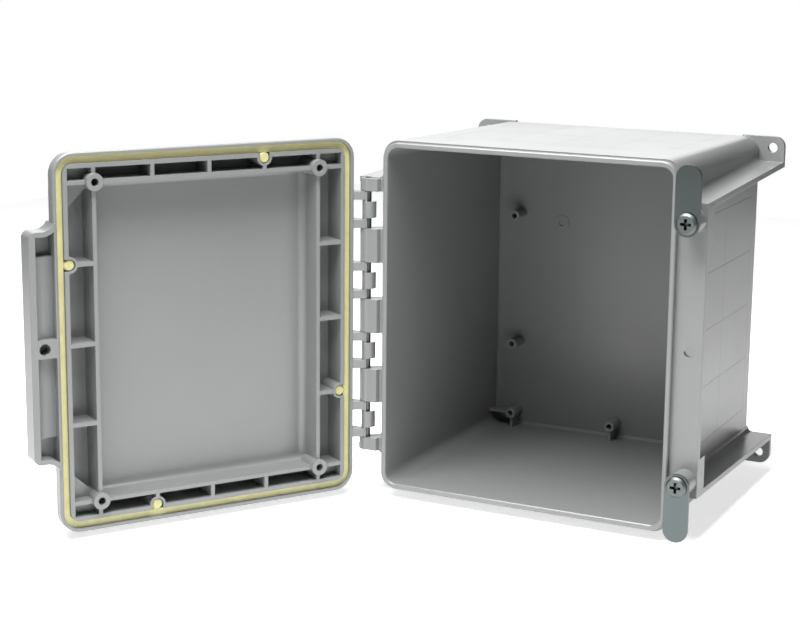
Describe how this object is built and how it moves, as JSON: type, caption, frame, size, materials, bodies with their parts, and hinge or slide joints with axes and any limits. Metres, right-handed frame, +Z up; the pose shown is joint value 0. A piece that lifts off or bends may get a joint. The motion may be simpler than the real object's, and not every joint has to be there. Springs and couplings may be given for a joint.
{
  "type": "junction box",
  "caption": "Wall-mounted moulded junction box with a hinged gasketed cover, swinging hasps, mounting feet and panel bosses inside.",
  "frame": {"origin": "centre of the four foot holes, on the wall plane behind the box", "axes": "+X to the right for someone who faces the box, +Y into the wall, +Z up"},
  "size_m": [0.4137, 0.4204, 0.2676],
  "materials": {
    "moulded_grey": "satin",
    "poured_gasket": "matte",
    "stainless": "satin",
    "insert_brass": "satin"
  },
  "bodies": {
    "enclosure": {"enclosure_body": "moulded_grey", "hinge_pin": "stainless", "upper_latch_screw": "stainless", "lower_latch_screw": "stainless", "upper_latch_insert": "insert_brass", "lower_latch_insert": "insert_brass"},
    "cover": {"cover": "moulded_grey", "cover_gasket": "poured_gasket"},
    "upper_hasp": {"upper_hasp": "stainless"},
    "lower_hasp": {"lower_hasp": "stainless"}
  },
  "joints": [
    {"name": "cover_hinge", "type": "hinge", "parent": "enclosure", "child": "cover", "pos_m": [-0.127, -0.2002, 0], "axis": [0, 0, 1], "range_deg": [-52.6, 122.4]},
    {"name": "upper_hasp_pivot", "type": "hinge", "parent": "enclosure", "child": "upper_hasp", "pos_m": [0.125, -0.217, 0.0918], "axis": [0, 1, 0], "range_deg": [0, 180]},
    {"name": "lower_hasp_pivot", "type": "hinge", "parent": "enclosure", "child": "lower_hasp", "pos_m": [0.125, -0.217, -0.0918], "axis": [0, -1, 0], "range_deg": [0, 180]}
  ]
}
